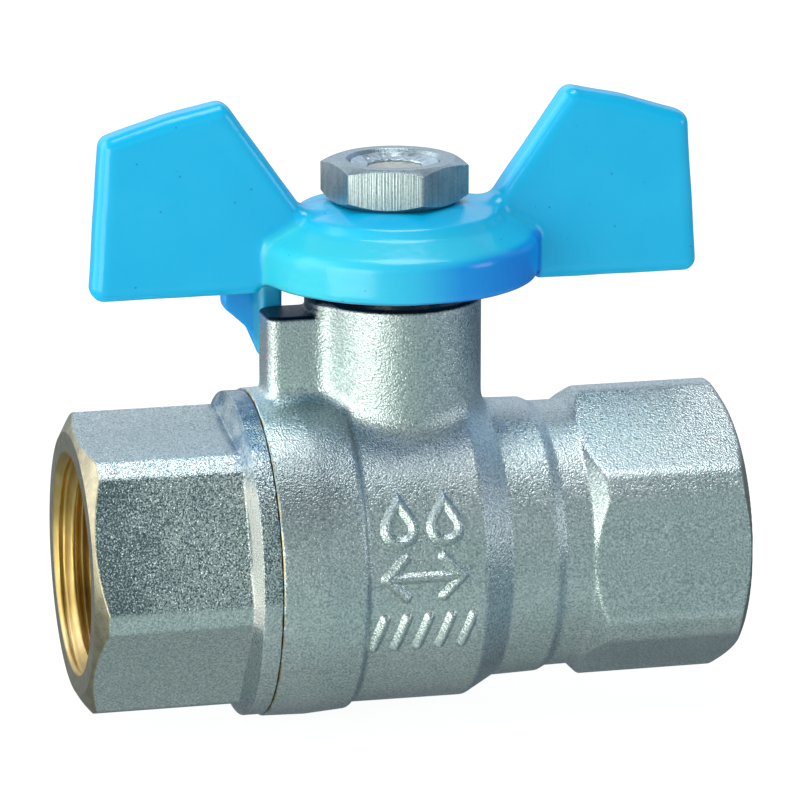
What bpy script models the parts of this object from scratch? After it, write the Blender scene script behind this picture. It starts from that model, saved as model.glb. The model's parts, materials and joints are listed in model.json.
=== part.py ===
"""A half-inch quarter-turn ball valve with female threads and a butterfly handle.

The inlet's end face is at the origin. +X is the way the water flows and +Z is up along the stem.
Every outline is in metres from the ball's centre, which lies on the pipe's axis.
"""

from math import acos, asin, cos, pi, radians, sin, tan

import bmesh
import bpy
from mathutils import Vector

MM = 0.001

# Body and end cap
END_TO_CENTRE = 32.0 * MM
GAP = 0.3 * MM
HEX_APOTHEM = 13.0 * MM
INLET_HEX_CORNER = 14.45 * MM
INLET_HEX_TURN = 22.0
OUTLET_HEX_CORNER = 14.3 * MM
OUTLET_HEX_TURN = 2.0
INLET_FACE_RADIUS = 12.6 * MM
OUTLET_FACE_RADIUS = 12.8 * MM
FACE_CHAMFER = radians(30)
JOINT_X = -15.2 * MM
COLLAR_RADIUS = 15.63 * MM
RING_RADIUS = 15.95 * MM
BARREL_RADIUS = 15.1 * MM
STEP_RADIUS = 13.38 * MM
WAIST_RADIUS = 12.9 * MM
OUTLET_HEX_START = 16.1 * MM

# Waterway
THREAD_RADIUS = 9.32 * MM
THREAD_MOUTH = 10.75 * MM
THREAD_DEPTH = 13.0 * MM
WATERWAY_RADIUS = 7.0 * MM
CHAMBER_RADIUS = 11.6 * MM
SOCKET_RADIUS = 12.9 * MM
SOCKET_FLOOR = -7.2 * MM

# Ball and seats
BALL_RADIUS = 11.0 * MM
SEAT_FRONT = 6.4 * MM
SEAT_BACK = 10.4 * MM
SLOT_WIDTH = 4.0 * MM
SLOT_FLOOR = 8.2 * MM

# Neck and stop lugs
NECK_RADIUS = 8.0 * MM
NECK_TOP = 24.9 * MM
LUG_TOP = 23.6 * MM
LUG_HALF_WIDTH = 2.8 * MM
LUG_REACH = 13.2 * MM
LUG_STEP_RADIUS = 8.9 * MM
STEM_BORE = 4.3 * MM
COUNTERBORE = 6.0 * MM
COUNTERBORE_ROOF = 13.9 * MM

# Stem
STEM_RADIUS = 4.0 * MM
COLLAR_BOTTOM = 11.2 * MM
COLLAR_TOP = 12.6 * MM
STEM_TOP = 37.1 * MM
STEM_THREAD = 3.6 * MM
STEM_FLAT = 2.8 * MM
SHOULDER = 26.3 * MM
O_RING_HEIGHTS = {"stem_o_ring_lower": 16.0 * MM, "stem_o_ring_upper": 19.6 * MM}
O_RING_RADIUS = 3.55 * MM
O_RING_SECTION = 0.45 * MM

# Handle and nut
HUB_RADIUS = 13.4 * MM
HUB_BOTTOM = 26.6 * MM
NUT_SEAT = 33.8 * MM
WING_REACH = 29.75 * MM
WING_BOTTOM = 25.65 * MM
WING_TOP = 44.4 * MM
WING_THICKNESS = 4.0 * MM
WING_EDGE = 1.1 * MM
NUT_APOTHEM = 6.2 * MM
NUT_TOP = 38.0 * MM
NUT_TURN = 9.0
NUT_HOLE = 3.9 * MM

ROUND_STEPS = 40


def clear_scene():
    """Removes whatever the scene holds."""
    for old in list(bpy.data.objects):
        bpy.data.objects.remove(old)


def make_material(name, colour, roughness, metallic):
    """A plain Principled material."""
    made = bpy.data.materials.new(name)
    made.use_nodes = True
    shader = made.node_tree.nodes["Principled BSDF"]
    shader.inputs["Base Color"].default_value = (*colour, 1)
    shader.inputs["Roughness"].default_value = roughness
    shader.inputs["Metallic"].default_value = metallic
    made.diffuse_color = (*colour, 1)
    return made


def add_empty(name, location, parent=None):
    """A reference point that pieces hang from."""
    made = bpy.data.objects.new(name, None)
    made.location = location
    made.parent = parent
    bpy.context.scene.collection.objects.link(made)
    return made


def add_object(name, shape, parent, finish=None):
    """Turns a bmesh into an object with its faces outward and its round sides smooth."""
    bmesh.ops.recalc_face_normals(shape, faces=shape.faces)
    mesh = bpy.data.meshes.new(name)
    shape.to_mesh(mesh)
    shape.free()
    mesh.shade_smooth()
    mesh.set_sharp_from_angle(angle=radians(30))
    made = bpy.data.objects.new(name, mesh)
    made.parent = parent
    if finish:
        mesh.materials.append(finish)
    bpy.context.scene.collection.objects.link(made)
    return made


def combine(target, operation, tool):
    """Adds a Boolean to the target, and hides the tool."""
    modifier = target.modifiers.new(tool.name, "BOOLEAN")
    modifier.operation = operation
    modifier.object = tool
    tool.hide_render = True
    tool.display_type = "WIRE"


def on_pipe(along, radius, angle):
    """A point about the pipe's axis, whose angle is 0 at the front and grows upward."""
    return Vector((along, -radius * cos(angle), radius * sin(angle)))


def on_stem(along, radius, angle):
    """A point about the stem's axis."""
    return Vector((radius * cos(angle), radius * sin(angle), along))


def skin(rings, hollow=False):
    """A closed surface over rings of points: with a cap at each end, or hollow with the last joined to the first."""
    shape = bmesh.new()
    loops = [[shape.verts.new(point) for point in ring] for ring in rings]
    if hollow:
        loops.append(loops[0])
    else:
        shape.faces.new(loops[0])
        shape.faces.new(loops[-1])
    for near, far in zip(loops, loops[1:]):
        for i, corner in enumerate(near):
            shape.faces.new((near[i - 1], corner, far[i], far[i - 1]))
    return shape


def even_angles(steps=ROUND_STEPS):
    """Angles at even steps round a circle."""
    return [2 * pi * i / steps for i in range(steps)]


def turned(outline, place, hollow=False, steps=ROUND_STEPS):
    """A turned solid from (distance along the axis, radius) points."""
    rings = [[place(along, radius, a) for a in even_angles(steps)] for along, radius in outline]
    return skin(rings, hollow)


def arc(centre, radius, start, end, steps):
    """(along, radius) points of an arc whose angles are in degrees."""
    turns = [radians(start + (end - start) * i / steps) for i in range(steps + 1)]
    return [(centre[0] + radius * cos(t), centre[1] + radius * sin(t)) for t in turns]


def box(low, high):
    """A block between two corners."""
    shape = bmesh.new()
    bmesh.ops.create_cube(shape, size=1)
    low, high = Vector(low), Vector(high)
    for vert in shape.verts:
        vert.co = (low + high) / 2 + Vector(a * b for a, b in zip(vert.co, high - low))
    return shape


def plate(outline, layers):
    """A plate in the plane of the wings, from (x, z) points and the (y, inset) of each layer."""
    return skin([[Vector((p.x, y, p.y)) for p in inset(outline, depth)] for y, depth in layers])


def inset(outline, depth):
    """The outline moved inward by a depth. It runs anticlockwise seen from the front."""
    moved = []
    for i, point in enumerate(outline):
        here = Vector(point)
        into = (here - Vector(outline[i - 1])).normalized().orthogonal()
        out = (Vector(outline[(i + 1) % len(outline)]) - here).normalized().orthogonal()
        moved.append(here + (into + out) * depth / (1 + into.dot(out)))
    return moved


def rounded_layers(half, edge, steps=3):
    """The layers of a plate with rounded edges: quarter circles at the front and the back."""
    turns = [pi / 2 * k / steps for k in range(steps + 1)]
    back = [(half - edge * (1 - sin(t)), edge * (1 - cos(t))) for t in turns]
    return [(-y, depth) for y, depth in reversed(back)] + back


def rounded(corners, steps=4):
    """The outline through (x, z, radius) corners, with an arc in place of each corner that has a radius."""
    outline = []
    for i, (x, z, radius) in enumerate(corners):
        here = Vector((x, z))
        to_last = (Vector(corners[i - 1][:2]) - here).normalized()
        to_next = (Vector(corners[(i + 1) % len(corners)][:2]) - here).normalized()
        if not radius:
            outline.append((x, z))
            continue
        half = to_last.angle(to_next) / 2
        middle = here + (to_last + to_next).normalized() * radius / sin(half)
        first = here + to_last * radius / tan(half) - middle
        last = here + to_next * radius / tan(half) - middle
        for k in range(steps + 1):
            spoke = first.lerp(last, k / steps).normalized() * radius
            outline.append(tuple(middle + spoke))
    return outline


class Hexagon:
    """A hexagon about an axis, with its corners cut off at the corner radius."""

    def __init__(self, place, apothem, corner, turn, steps=6):
        self.place = place
        self.apothem = apothem
        self.turn = radians(turn)
        half = acos(apothem / corner)
        flats = [self.turn + k * pi / 3 for k in range(6)]
        self.angles = [flat + half * (2 * i / steps - 1) for flat in flats for i in range(steps + 1)]

    def radius(self, angle):
        """The distance from the axis to the flat that faces an angle."""
        off = (angle - self.turn + pi / 6) % (pi / 3) - pi / 6
        return self.apothem / cos(off)

    def ring(self, along, slope=0.0, start=0.0):
        """The hexagon where it meets a cone that leaves the start radius at this place."""
        radii = [self.radius(a) for a in self.angles]
        return [self.place(along + slope * (r - start), r, a) for r, a in zip(radii, self.angles)]

    def circle(self, along, radius):
        """A circle with its points at the hexagon's angles."""
        return [self.place(along, radius, a) for a in self.angles]


def make_end_cap(parent, finish):
    """The inlet end: hexagon, collar, and the spigot that screws into the body."""
    end = Hexagon(on_pipe, HEX_APOTHEM, INLET_HEX_CORNER, INLET_HEX_TURN)
    collar_back = JOINT_X - GAP / 2
    spigot_end = SOCKET_FLOOR - GAP
    pocket_floor = -SEAT_BACK - GAP
    thread_end = -END_TO_CENTRE + THREAD_DEPTH
    rings = [
        end.circle(-END_TO_CENTRE, THREAD_MOUTH),
        end.circle(-END_TO_CENTRE, INLET_FACE_RADIUS),
        end.ring(-END_TO_CENTRE, tan(FACE_CHAMFER), INLET_FACE_RADIUS),
        end.ring(-17.4 * MM),
        end.circle(-16.3 * MM, COLLAR_RADIUS),
        end.circle(collar_back, COLLAR_RADIUS),
        end.circle(collar_back, SOCKET_RADIUS - GAP),
        end.circle(spigot_end, SOCKET_RADIUS - GAP),
        end.circle(spigot_end, CHAMBER_RADIUS),
        end.circle(pocket_floor, CHAMBER_RADIUS),
        end.circle(pocket_floor, WATERWAY_RADIUS),
        end.circle(thread_end, WATERWAY_RADIUS),
        end.circle(thread_end, THREAD_RADIUS),
        end.circle(-END_TO_CENTRE + THREAD_MOUTH - THREAD_RADIUS, THREAD_RADIUS),
    ]
    return add_object("end_cap", skin(rings, hollow=True), parent, finish)


def body_cavity(parent):
    """The room inside the body: the cap's socket, the ball's chamber, the waterway and the outlet's thread."""
    past = 1 * MM
    thread_start = END_TO_CENTRE - THREAD_DEPTH
    mouth = THREAD_MOUTH - THREAD_RADIUS
    outline = [
        (JOINT_X - past, SOCKET_RADIUS),
        (SOCKET_FLOOR, SOCKET_RADIUS),
        (SOCKET_FLOOR, CHAMBER_RADIUS),
        (SEAT_BACK + GAP, CHAMBER_RADIUS),
        (SEAT_BACK + GAP, WATERWAY_RADIUS),
        (thread_start, WATERWAY_RADIUS),
        (thread_start, THREAD_RADIUS),
        (END_TO_CENTRE - mouth, THREAD_RADIUS),
        (END_TO_CENTRE + past, THREAD_MOUTH + past),
    ]
    return add_object("body_cavity", turned(outline, on_pipe), parent)


def stem_passage(parent):
    """The stem's bore through the neck, with the counterbore for its collar."""
    outline = [
        (CHAMBER_RADIUS / 2, COUNTERBORE),
        (COUNTERBORE_ROOF, COUNTERBORE),
        (COUNTERBORE_ROOF, STEM_BORE),
        (NECK_TOP - 0.4 * MM, STEM_BORE),
        (NECK_TOP + 0.6 * MM, STEM_BORE + 1 * MM),
    ]
    return add_object("stem_passage", turned(outline, on_stem), parent)


def make_neck(parent):
    """The round neck that the stem comes out of."""
    bevel = 0.4 * MM
    outline = [
        (COUNTERBORE_ROOF - 1 * MM, NECK_RADIUS),
        (NECK_TOP - bevel, NECK_RADIUS),
        (NECK_TOP, NECK_RADIUS - bevel),
    ]
    return add_object("neck", turned(outline, on_stem), parent)


def make_lug(name, low, high, parent):
    """A stop lug beside the neck, with its upright edges rounded."""
    lug = add_object(name, box(low, high), parent)
    bevel = lug.modifiers.new("rounded_edges", "BEVEL")
    bevel.width = 0.8 * MM
    bevel.segments = 2
    return lug


def make_valve_body(parent, finish):
    """The forged body: ring, barrel, neck, two stop lugs and the outlet's hexagon."""
    end = Hexagon(on_pipe, HEX_APOTHEM, OUTLET_HEX_CORNER, OUTLET_HEX_TURN)
    forging = [
        (JOINT_X + GAP / 2, 15.64 * MM),
        (-14.1 * MM, RING_RADIUS),
        (-10.5 * MM, 15.9 * MM),
        (-7.0 * MM, 15.67 * MM),
        (-5.8 * MM, BARREL_RADIUS),
        (5.2 * MM, BARREL_RADIUS),
        (8.1 * MM, 13.5 * MM),
        (8.7 * MM, STEP_RADIUS),
        (12.4 * MM, STEP_RADIUS),
        (13.4 * MM, WAIST_RADIUS),
        (OUTLET_HEX_START, WAIST_RADIUS),
    ]
    rings = [end.circle(along, radius) for along, radius in forging]
    rings.append(end.ring(OUTLET_HEX_START, 1.0, WAIST_RADIUS))
    rings.append(end.ring(END_TO_CENTRE, -tan(FACE_CHAMFER), OUTLET_FACE_RADIUS))
    rings.append(end.circle(END_TO_CENTRE, OUTLET_FACE_RADIUS))
    body = add_object("valve_body", skin(rings), parent, finish)

    open_lug = make_lug(
        "open_stop_lug",
        (-LUG_REACH, -LUG_HALF_WIDTH, COUNTERBORE_ROOF),
        (-STEM_RADIUS, LUG_HALF_WIDTH, NECK_TOP),
        parent,
    )
    closed_lug = make_lug(
        "closed_stop_lug",
        (5.9 * MM, STEM_RADIUS, 3 * MM),
        (8.8 * MM, LUG_REACH - 0.6 * MM, NECK_TOP),
        parent,
    )
    step = [
        (LUG_TOP, LUG_STEP_RADIUS),
        (LUG_TOP, 2 * LUG_REACH),
        (NECK_TOP + 1 * MM, 2 * LUG_REACH),
        (NECK_TOP + 1 * MM, LUG_STEP_RADIUS),
    ]
    lug_step = add_object("lug_step", turned(step, on_stem, hollow=True), parent)
    for piece in (make_neck(parent), open_lug, closed_lug):
        combine(body, "UNION", piece)
    for cutter in (lug_step, body_cavity(parent), stem_passage(parent)):
        combine(body, "DIFFERENCE", cutter)
    return body


def make_ball(parent, finish):
    """The ball: a sphere with the waterway through it and the stem's slot across its top."""
    half_bore = asin(WATERWAY_RADIUS / BALL_RADIUS) * 180 / pi
    outline = arc((0, 0), BALL_RADIUS, half_bore, 180 - half_bore, 16)
    ball = add_object("ball", turned(outline, on_pipe, hollow=True), parent, finish)
    across = 2 * BALL_RADIUS
    slot = box((-SLOT_WIDTH / 2, -across, SLOT_FLOOR), (SLOT_WIDTH / 2, across, across))
    combine(ball, "DIFFERENCE", add_object("ball_slot", slot, parent))
    return ball


def make_seat(name, side, parent, finish):
    """A seat ring, whose hollow front faces the ball."""
    inner = WATERWAY_RADIUS + 0.2 * MM
    outer = CHAMBER_RADIUS - GAP
    reach = BALL_RADIUS + GAP
    start = asin(inner / reach) * 180 / pi
    end = acos(SEAT_FRONT / reach) * 180 / pi
    outline = arc((0, 0), reach, start, end, 3)
    outline += [(SEAT_FRONT, outer), (SEAT_BACK, outer), (SEAT_BACK, inner)]
    outline = [(side * along, radius) for along, radius in outline]
    return add_object(name, turned(outline, on_pipe, hollow=True, steps=32), parent, finish)


def make_stem(parent, finish):
    """The stem: tang, collar, two O-ring grooves, two flats for the handle and the nut's thread."""
    groove_radius = O_RING_RADIUS - O_RING_SECTION - GAP
    half_groove = O_RING_SECTION + GAP
    outline = [
        (SLOT_FLOOR + GAP, STEM_RADIUS),
        (COLLAR_BOTTOM, STEM_RADIUS),
        (COLLAR_BOTTOM, COUNTERBORE - GAP),
        (COLLAR_TOP, COUNTERBORE - GAP),
        (COLLAR_TOP, STEM_RADIUS),
    ]
    for height in O_RING_HEIGHTS.values():
        outline += [
            (height - half_groove, STEM_RADIUS),
            (height - half_groove, groove_radius),
            (height + half_groove, groove_radius),
            (height + half_groove, STEM_RADIUS),
        ]
    outline += [
        (NUT_SEAT - GAP, STEM_RADIUS),
        (NUT_SEAT - GAP, STEM_THREAD),
        (STEM_TOP - 0.5 * MM, STEM_THREAD),
        (STEM_TOP, STEM_THREAD - 0.5 * MM),
    ]
    stem = add_object("stem", turned(outline, on_stem, steps=32), parent, finish)
    half_tang = SLOT_WIDTH / 2 - GAP
    for side in (-1, 1):
        near, far = sorted((side * half_tang, side * 3 * STEM_RADIUS))
        waste = box((near, -3 * STEM_RADIUS, 0), (far, 3 * STEM_RADIUS, COLLAR_BOTTOM))
        combine(stem, "DIFFERENCE", add_object(f"tang_side_{side + 1}", waste, parent))
        near, far = sorted((side * STEM_FLAT, side * 3 * STEM_RADIUS))
        waste = box((-3 * STEM_RADIUS, near, SHOULDER), (3 * STEM_RADIUS, far, NUT_SEAT + GAP))
        combine(stem, "DIFFERENCE", add_object(f"handle_flat_{side + 1}", waste, parent))
    return stem


def make_o_ring(name, height, parent, finish):
    """A rubber ring in one of the stem's grooves."""
    outline = arc((height, O_RING_RADIUS), O_RING_SECTION, 0, 360, 8)[:-1]
    return add_object(name, turned(outline, on_stem, hollow=True, steps=32), parent, finish)


def make_thrust_washer(parent, finish):
    """The slip ring between the stem's collar and the counterbore's roof."""
    bottom = COLLAR_TOP + GAP
    top = COUNTERBORE_ROOF - GAP
    inner = STEM_RADIUS + GAP
    outer = COUNTERBORE - GAP
    outline = [(bottom, inner), (bottom, outer), (top, outer), (top, inner)]
    shape = turned(outline, on_stem, hollow=True, steps=32)
    return add_object("stem_thrust_washer", shape, parent, finish)


def wing_outline():
    """Both wings and the web that joins them through the hub, as one outline."""
    right = [
        (12.6 * MM, 29.5 * MM, 0),
        (13.9 * MM, WING_BOTTOM, 0),
        (WING_REACH, WING_BOTTOM, 1.4 * MM),
        (28.6 * MM, 41.2 * MM, 1.5 * MM),
        (22.0 * MM, 43.1 * MM, 0),
        (16.75 * MM, WING_TOP, 1.5 * MM),
        (9.2 * MM, 33.5 * MM, 2.0 * MM),
        (6.8 * MM, 33.3 * MM, 0),
    ]
    left = [(-x, z, radius) for x, z, radius in reversed(right)]
    return rounded(right + left)


def make_stop_tab(parent):
    """The tab that meets the body's lugs, with its web up to the wing and the curved rib beside it."""
    tab = add_object(
        "stop_tab", box((-12.6 * MM, 3.1 * MM, 18.2 * MM), (-10.6 * MM, 5.6 * MM, 28 * MM)), parent
    )
    web = box((-16.3 * MM, 1.2 * MM, 25.9 * MM), (-10.8 * MM, 5.5 * MM, 28.4 * MM))
    combine(tab, "UNION", add_object("stop_web", web, parent))
    rib = [
        (-11.8 * MM, 26.5 * MM, 0),
        (-16.3 * MM, 26.5 * MM, 0),
        (-16.3 * MM, 23.4 * MM, 1.0 * MM),
        (-13.9 * MM, 21.2 * MM, 1.2 * MM),
        (-12.75 * MM, 18.5 * MM, 0),
        (-11.8 * MM, 18.5 * MM, 0),
    ]
    layers = [(3.4 * MM, 0), (5.3 * MM, 0)]
    combine(tab, "UNION", add_object("stop_rib", plate(rounded(rib), layers), parent))
    return tab


def make_handle(parent, finish):
    """The butterfly handle: stepped hub, two wings and the stop tab, cast in one."""
    hub = [
        (HUB_BOTTOM, HUB_RADIUS - 0.5 * MM),
        (HUB_BOTTOM + 0.6 * MM, HUB_RADIUS),
        (29.9 * MM, HUB_RADIUS),
        (30.9 * MM, 12.6 * MM),
        (32.3 * MM, 10.2 * MM),
        (33.0 * MM, 9.7 * MM),
        (33.6 * MM, 8.0 * MM),
        (NUT_SEAT, 6.3 * MM),
    ]
    handle = add_object("handle", turned(hub, on_stem, steps=48), parent, finish)
    layers = rounded_layers(WING_THICKNESS / 2, WING_EDGE)
    wings = add_object("wings", plate(wing_outline(), layers), parent)
    recess = [
        (HUB_BOTTOM - 2 * MM, 6.2 * MM),
        (HUB_BOTTOM - 2 * MM, 10.4 * MM),
        (HUB_BOTTOM + 2 * MM, 10.4 * MM),
        (HUB_BOTTOM + 2 * MM, 6.2 * MM),
    ]
    hole = [(HUB_BOTTOM - 1 * MM, STEM_RADIUS + GAP), (NUT_SEAT + 1 * MM, STEM_RADIUS + GAP)]
    stem_hole = add_object("stem_hole", turned(hole, on_stem, steps=32), parent)
    for side in (-1, 1):
        near, far = sorted((side * (STEM_FLAT + GAP), side * 3 * STEM_RADIUS))
        waste = box((-3 * STEM_RADIUS, near, 0), (3 * STEM_RADIUS, far, 2 * STEM_TOP))
        combine(stem_hole, "DIFFERENCE", add_object(f"hole_flat_{side + 1}", waste, parent))
    combine(handle, "UNION", wings)
    combine(handle, "DIFFERENCE", add_object("hub_recess", turned(recess, on_stem, hollow=True), parent))
    combine(handle, "UNION", make_stop_tab(parent))
    combine(handle, "DIFFERENCE", stem_hole)
    return handle


def make_nut(parent, finish):
    """The nut that holds the handle down, chamfered at both ends."""
    nut = Hexagon(on_stem, NUT_APOTHEM, 1.152 * NUT_APOTHEM, NUT_TURN, steps=4)
    bottom = NUT_SEAT + GAP
    face = 0.95 * NUT_APOTHEM
    slope = tan(FACE_CHAMFER)
    countersink = 1.1 * MM
    rings = [
        nut.circle(NUT_TOP, NUT_HOLE + countersink),
        nut.circle(NUT_TOP, face),
        nut.ring(NUT_TOP, -slope, face),
        nut.ring(bottom, slope, face),
        nut.circle(bottom, face),
        nut.circle(bottom, NUT_HOLE),
        nut.circle(NUT_TOP - countersink, NUT_HOLE),
    ]
    return add_object("handle_nut", skin(rings, hollow=True), parent, finish)


def main():
    """Builds the valve, open."""
    clear_scene()
    plated = make_material("nickel_plated_brass", (0.56, 0.60, 0.60), 0.42, 0.9)
    cap_metal = make_material("nickel_plated_cap", (0.60, 0.63, 0.62), 0.40, 0.9)
    paint = make_material("blue_paint", (0.03, 0.42, 0.80), 0.32, 0.0)
    steel = make_material("zinc_plated_steel", (0.62, 0.63, 0.62), 0.35, 1.0)
    brass = make_material("machined_brass", (0.80, 0.60, 0.28), 0.30, 1.0)
    chrome = make_material("chromed_ball", (0.75, 0.76, 0.78), 0.08, 1.0)
    ptfe = make_material("white_ptfe", (0.85, 0.85, 0.83), 0.45, 0.0)
    rubber = make_material("black_rubber", (0.02, 0.02, 0.02), 0.60, 0.0)

    centre = add_empty("ball_centre", (END_TO_CENTRE, 0, 0))
    stem_axis = add_empty("stem_axis", (0, 0, 0), centre)
    ball_axis = add_empty("ball_axis", (0, 0, 0), centre)

    make_valve_body(centre, plated)
    make_end_cap(centre, cap_metal)
    make_ball(ball_axis, chrome)
    make_seat("inlet_seat", -1, centre, ptfe)
    make_seat("outlet_seat", 1, centre, ptfe)
    make_thrust_washer(centre, ptfe)
    make_stem(stem_axis, brass)
    for name, height in O_RING_HEIGHTS.items():
        make_o_ring(name, height, stem_axis, rubber)
    make_handle(stem_axis, paint)
    make_nut(stem_axis, steel)


main()
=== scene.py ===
"""Looks for a half-inch ball valve: castings, threads, seats, paint, plating, floor, lights and camera.

Shapes are worked out in millimetres from the ball's centre: x along the pipe, y to the back, z up the
stem. Materials read the place on the object in metres, with x from the inlet's end.
"""
import json
from math import acos, asin, cos, pi, radians, sin, tan

import bmesh
import bpy
import numpy as np
from mathutils import Matrix, Vector, noise


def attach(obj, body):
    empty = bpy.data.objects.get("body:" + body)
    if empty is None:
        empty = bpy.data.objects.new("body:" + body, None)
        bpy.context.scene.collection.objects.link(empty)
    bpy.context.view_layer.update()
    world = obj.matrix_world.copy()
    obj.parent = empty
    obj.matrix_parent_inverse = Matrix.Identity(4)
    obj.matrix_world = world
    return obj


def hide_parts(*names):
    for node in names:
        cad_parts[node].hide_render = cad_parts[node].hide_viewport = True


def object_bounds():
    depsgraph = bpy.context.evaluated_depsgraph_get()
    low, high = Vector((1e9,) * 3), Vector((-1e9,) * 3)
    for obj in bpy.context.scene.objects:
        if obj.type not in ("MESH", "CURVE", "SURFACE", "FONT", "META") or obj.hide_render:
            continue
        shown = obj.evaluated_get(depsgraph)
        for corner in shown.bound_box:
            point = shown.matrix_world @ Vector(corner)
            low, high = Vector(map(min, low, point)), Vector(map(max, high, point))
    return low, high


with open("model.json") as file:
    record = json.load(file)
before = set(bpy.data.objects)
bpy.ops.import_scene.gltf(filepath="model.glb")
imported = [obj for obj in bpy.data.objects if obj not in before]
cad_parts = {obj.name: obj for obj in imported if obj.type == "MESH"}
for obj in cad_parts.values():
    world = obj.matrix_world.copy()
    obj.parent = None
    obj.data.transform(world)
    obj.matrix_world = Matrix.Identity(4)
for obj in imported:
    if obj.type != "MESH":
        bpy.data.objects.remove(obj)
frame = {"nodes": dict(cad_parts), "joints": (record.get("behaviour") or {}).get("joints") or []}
cad_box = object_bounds()

CENTRE = Vector(frame["joints"][0]["pos_m"])
MM = 0.001

# Body and end cap
END = 32.0
HEX_APOTHEM = 13.0
INLET_CORNER = 14.42
INLET_TURN = 22.0
FLAT_HALF = 6.2
OUTLET_CORNER = 14.28
OUTLET_TURN = 2.0
INLET_FACE = 12.6
OUTLET_FACE = 12.8
CHAMFER = radians(30)
JOINT_X = -14.6
JOINT_GAP = 0.06
BEVEL_START = -17.15
BEVEL_END = -16.45
COLLAR = 15.63
BARREL = 15.1
WATERWAY = 7.0
CHAMBER = 11.6
SOCKET = 12.9
SOCKET_FLOOR = -7.2

# Threads
THREAD_MINOR = 9.32
THREAD_MAJOR = 10.48
THREAD_MOUTH = 10.75
THREAD_SLEEVE = 11.0
THREAD_DEPTH = 13.0
THREAD_PITCH = 1.814

# Neck and lugs
NECK = 8.0
NECK_TOP = 24.9
LUG_TOP = 23.6
LUG_STEP = 8.9
COUNTERBORE_ROOF = 13.9
STEM_BORE = 4.3

# Ball, seats and small rings
BALL = 11.0
SEAT_FRONT = 6.4
SEAT_BACK = 10.4
SLOT_WIDTH = 4.0
SLOT_FLOOR = 8.2

# Handle, nut and stem
HUB = 13.4
HUB_BOTTOM = 26.6
HANDLE_HOLE = 4.3
NUT_SEAT = 33.85
NUT_APOTHEM = 6.18
NUT_TOP = 37.98
NUT_TURN = 9.0
NUT_HOLE = 3.9
NUT_SHIFT = 0.3
STEM_TOP = 37.1


# ---------------------------------------------------------------- distances to shapes


def outline_distance(u, v, corners):
    """Signed distance from points to a closed outline, negative inside."""
    nearest = np.full(u.shape, np.inf)
    inside = np.zeros(u.shape, bool)
    for (au, av), (bu, bv) in zip(corners, corners[1:] + corners[:1]):
        du, dv = bu - au, bv - av
        along = np.clip(((u - au) * du + (v - av) * dv) / (du * du + dv * dv), 0, 1)
        nearest = np.minimum(nearest, (u - au - along * du) ** 2 + (v - av - along * dv) ** 2)
        if dv:
            inside ^= ((av > v) != (bv > v)) & (u < du * (v - av) / dv + au)
    return np.sqrt(nearest) * np.where(inside, -1, 1)


def union(a, b, fillet):
    """The nearer of two distances, with a fillet where they meet."""
    near = np.maximum(fillet - np.abs(a - b), 0)
    return np.minimum(a, b) - near * near / (4 * fillet)


def overlap(a, b, rounding):
    """The farther of two distances, with the edge where they meet rounded."""
    return -union(-a, -b, rounding)


def hexagon_distance(u, v, apothem, corner, turn, rounding):
    """Distance to a long hexagon whose cut corners are a second, wider hexagon."""
    found = None
    for k in range(12):
        facing = radians(turn) + k * pi / 6
        reach = corner if k % 2 else apothem
        side = u * cos(facing) + v * sin(facing) - reach
        found = side if found is None else overlap(found, side, rounding)
    return found


def rounded(corners, steps=5):
    """The outline through (u, v, radius) corners, with an arc in place of each that has a radius."""
    outline = []
    for i, (u, v, radius) in enumerate(corners):
        here = Vector((u, v))
        to_last = (Vector(corners[i - 1][:2]) - here).normalized()
        to_next = (Vector(corners[(i + 1) % len(corners)][:2]) - here).normalized()
        if not radius:
            outline.append((u, v))
            continue
        half = to_last.angle(to_next) / 2
        middle = here + (to_last + to_next).normalized() * radius / sin(half)
        first = here + to_last * radius / tan(half) - middle
        last = here + to_next * radius / tan(half) - middle
        for k in range(steps + 1):
            spoke = first.lerp(last, k / steps).normalized() * radius
            outline.append(tuple(middle + spoke))
    return outline


# ---------------------------------------------------------------- mesh building


def add_piece(name, mesh, finish, body, nodes):
    """An object that rides on a body and stands for CAD nodes."""
    made = bpy.data.objects.new(name, mesh)
    bpy.context.scene.collection.objects.link(made)
    mesh.materials.clear()
    mesh.materials.append(finish)
    mesh.shade_smooth()
    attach(made, body)
    if nodes:
        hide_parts(*nodes)
    return made


def mesh_from(name, points, faces):
    """A mesh from points in millimetres about the ball's centre."""
    mesh = bpy.data.meshes.new(name)
    mesh.from_pydata([tuple(p) for p in np.asarray(points) * MM + np.array(CENTRE)], [], faces)
    shape = bmesh.new()
    shape.from_mesh(mesh)
    bmesh.ops.remove_doubles(shape, verts=shape.verts, dist=1e-7)
    bmesh.ops.recalc_face_normals(shape, faces=shape.faces)
    shape.to_mesh(mesh)
    shape.free()
    return mesh


def on_pipe(along, radius, angle):
    """A point about the pipe's axis, whose angle is 0 at the front and grows upward."""
    return along, -radius * cos(angle), radius * sin(angle)


def on_stem(along, radius, angle):
    """A point about the stem's axis."""
    return radius * cos(angle), radius * sin(angle), along


def on_nut(along, radius, angle):
    """A point about the nut's axis, which lies a little to the inlet's side of the stem's."""
    x, y, z = on_stem(along, radius, angle)
    return x - NUT_SHIFT, y, z


def loft(name, place, steps, section):
    """A ring-shaped solid: section(angle) gives the closed (along, radius) outline at each angle."""
    points = []
    for i in range(steps):
        angle = 2 * pi * i / steps
        outline = section(angle)
        points += [place(along, radius, angle) for along, radius in outline]
    count = len(outline)
    faces = []
    for i in range(steps):
        here, there = i * count, (i + 1) % steps * count
        for j in range(count):
            k = (j + 1) % count
            faces.append((here + j, here + k, there + k, there + j))
    return mesh_from(name, points, faces)


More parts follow.
